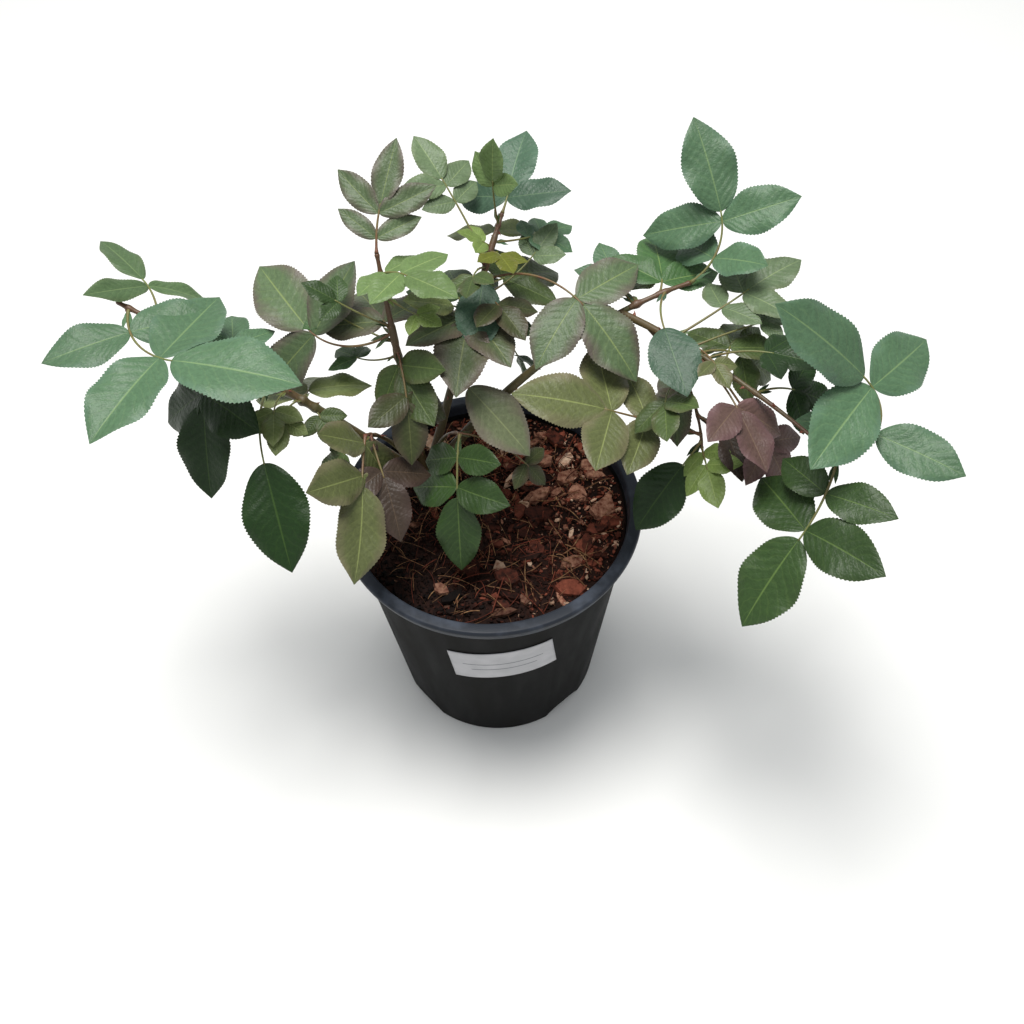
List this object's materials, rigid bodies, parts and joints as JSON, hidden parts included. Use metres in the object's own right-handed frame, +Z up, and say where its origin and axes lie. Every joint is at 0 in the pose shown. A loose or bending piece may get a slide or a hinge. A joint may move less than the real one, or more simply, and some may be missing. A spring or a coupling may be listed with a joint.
{
  "type": "potted rose bush",
  "caption": "Young rose bush with arching canes and toothed leaves, rising from a graft in a round tapered nursery pot filled with bark mix.",
  "frame": {"origin": "centre of the pot's flat underside", "axes": "+Z up; the side of the pot with the label faces -Y; +X to its right"},
  "size_m": [0.4967, 0.2934, 0.3913],
  "materials": {
    "pot_plastic": "matte, faintly glossy at the rim",
    "label_paper": "bare white sticker",
    "growing_mix": "damp bark chips and fibre, rough",
    "bark": "olive brown rose wood",
    "foliage": "satin green leaves"
  },
  "bodies": {
    "root": {"pot": "pot_plastic", "label": "label_paper", "growing_mix": "growing_mix", "graft": "bark", "left_bough": "bark", "tall_bough": "bark", "back_bough": "bark", "right_bough": "bark", "far_right_bough": "bark", "right_mid_bough": "bark", "front_left_bough": "bark", "front_bough": "bark", "left_leaves": "foliage", "tall_leaves": "foliage", "back_leaves": "foliage", "right_leaves": "foliage", "far_right_leaves": "foliage", "right_mid_leaves": "foliage", "front_left_leaves": "foliage", "front_leaves": "foliage"}
  },
  "joints": []
}
